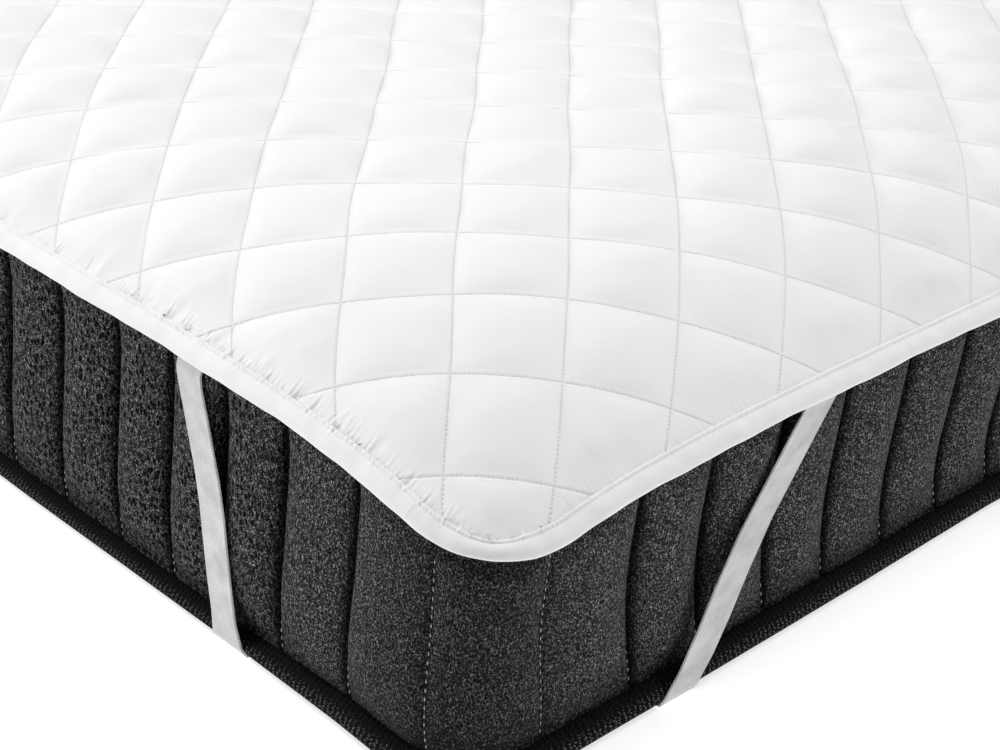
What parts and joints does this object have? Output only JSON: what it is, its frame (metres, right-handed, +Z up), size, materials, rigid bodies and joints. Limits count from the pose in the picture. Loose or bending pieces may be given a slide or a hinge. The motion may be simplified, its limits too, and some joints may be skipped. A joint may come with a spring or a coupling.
{
  "type": "quilted mattress protector on a mattress",
  "caption": "Diamond-quilted mattress protector with a bound edge and elastic corner straps, fitted over a plain channelled mattress.",
  "frame": {"origin": "on the floor, at the middle of the mattress's footprint", "axes": "+Z up, +Y along the long sides, +X along the short sides"},
  "size_m": [1.411, 2.0124, 0.2578],
  "materials": {
    "white_microfibre": "smooth matt microfibre, quilted",
    "white_binding": "smooth matt microfibre, folded and stitched",
    "white_elastic": "woven twill elastic",
    "charcoal_knit": "melange knit with small dimples",
    "black_mesh": "coarse woven mesh"
  },
  "bodies": {
    "root": {"quilted_pad": "white_microfibre", "edge_binding": "white_binding", "corner_strap_front_left": "white_elastic", "corner_strap_front_right": "white_elastic", "corner_strap_back_right": "white_elastic", "corner_strap_back_left": "white_elastic", "mattress": "charcoal_knit", "mattress_base_band": "black_mesh"}
  },
  "joints": []
}
